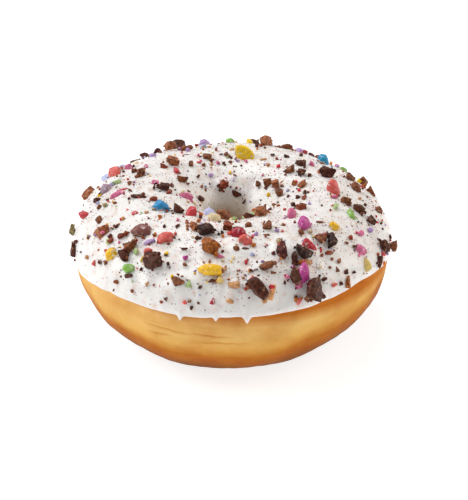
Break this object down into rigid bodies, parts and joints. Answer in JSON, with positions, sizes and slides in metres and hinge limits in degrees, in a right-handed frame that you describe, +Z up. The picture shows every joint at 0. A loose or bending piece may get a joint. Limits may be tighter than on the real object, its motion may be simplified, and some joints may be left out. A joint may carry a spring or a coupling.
{
  "type": "iced ring doughnut",
  "caption": "Fried ring doughnut with white icing over its top half and into the hole, covered with broken chocolate and sugar-shell sweets.",
  "frame": {"origin": "centre of the ring on the plane its flat foot rests on", "axes": "+Z up along the hole, -Y towards the side that the picture shows, +X to its right"},
  "size_m": [0.091, 0.0917, 0.0423],
  "materials": {
    "fried_dough": "soft golden-brown fried crust, satin",
    "white_icing": "set white sugar icing, smooth with a soft sheen",
    "chocolate": "broken milk and dark chocolate, rough fracture with waxy faces",
    "sugar_shell": "thin coloured sugar shell, smooth and glossy",
    "wafer_crumb": "dry biscuit and sugar crumbs"
  },
  "bodies": {
    "root": {"dough": "fried_dough", "icing": "white_icing"}
  },
  "joints": []
}
